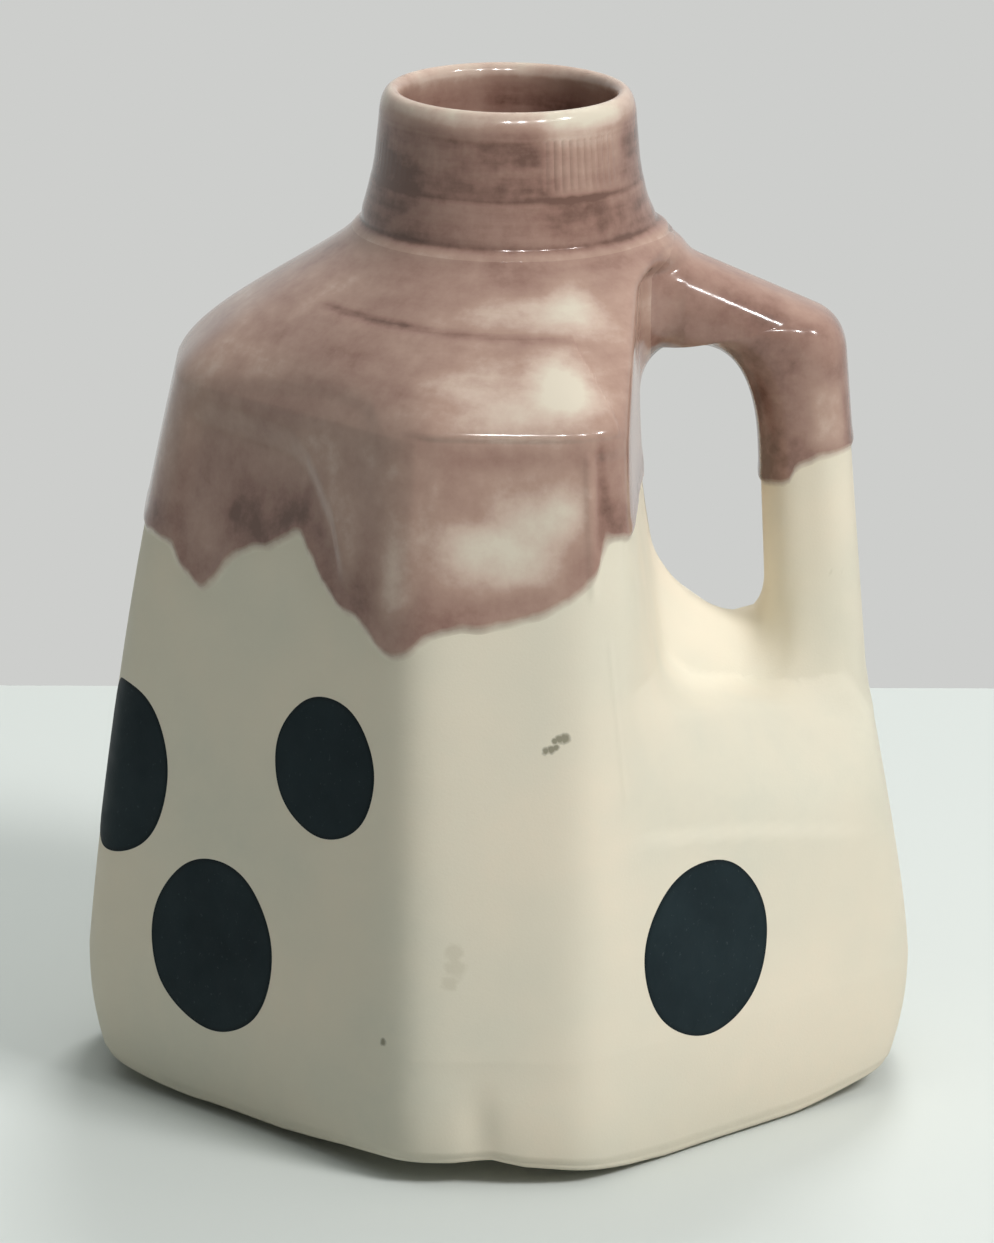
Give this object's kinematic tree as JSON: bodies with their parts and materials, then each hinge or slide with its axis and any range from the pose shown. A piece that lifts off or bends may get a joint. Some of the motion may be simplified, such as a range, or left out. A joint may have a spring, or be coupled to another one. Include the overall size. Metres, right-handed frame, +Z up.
{
  "type": "jug",
  "caption": "Slip-cast ceramic jug in the form of a square household jug, with a loop handle, a capped-style neck, a dripped glaze on top and painted round spots on bare clay.",
  "frame": {"origin": "centre of the base, on the surface the jug stands on", "axes": "+Z up along the neck, +X towards the handle, -Y towards the front corner"},
  "size_m": [0.1252, 0.1252, 0.1523],
  "materials": {
    "bisque": "matte",
    "glaze": "gloss",
    "spot": "matte"
  },
  "bodies": {
    "root": {"foot": "bisque", "body_wall": "bisque", "shoulder": "bisque", "neck_collar": "bisque", "handle": "bisque", "neck_glaze": "glaze", "shoulder_glaze": "glaze", "handle_glaze": "glaze", "spot_left_corner": "spot", "spot_left_upper": "spot", "spot_left_lower": "spot", "spot_right": "spot", "spot_back_left": "spot", "spot_back_right": "spot"}
  },
  "joints": []
}
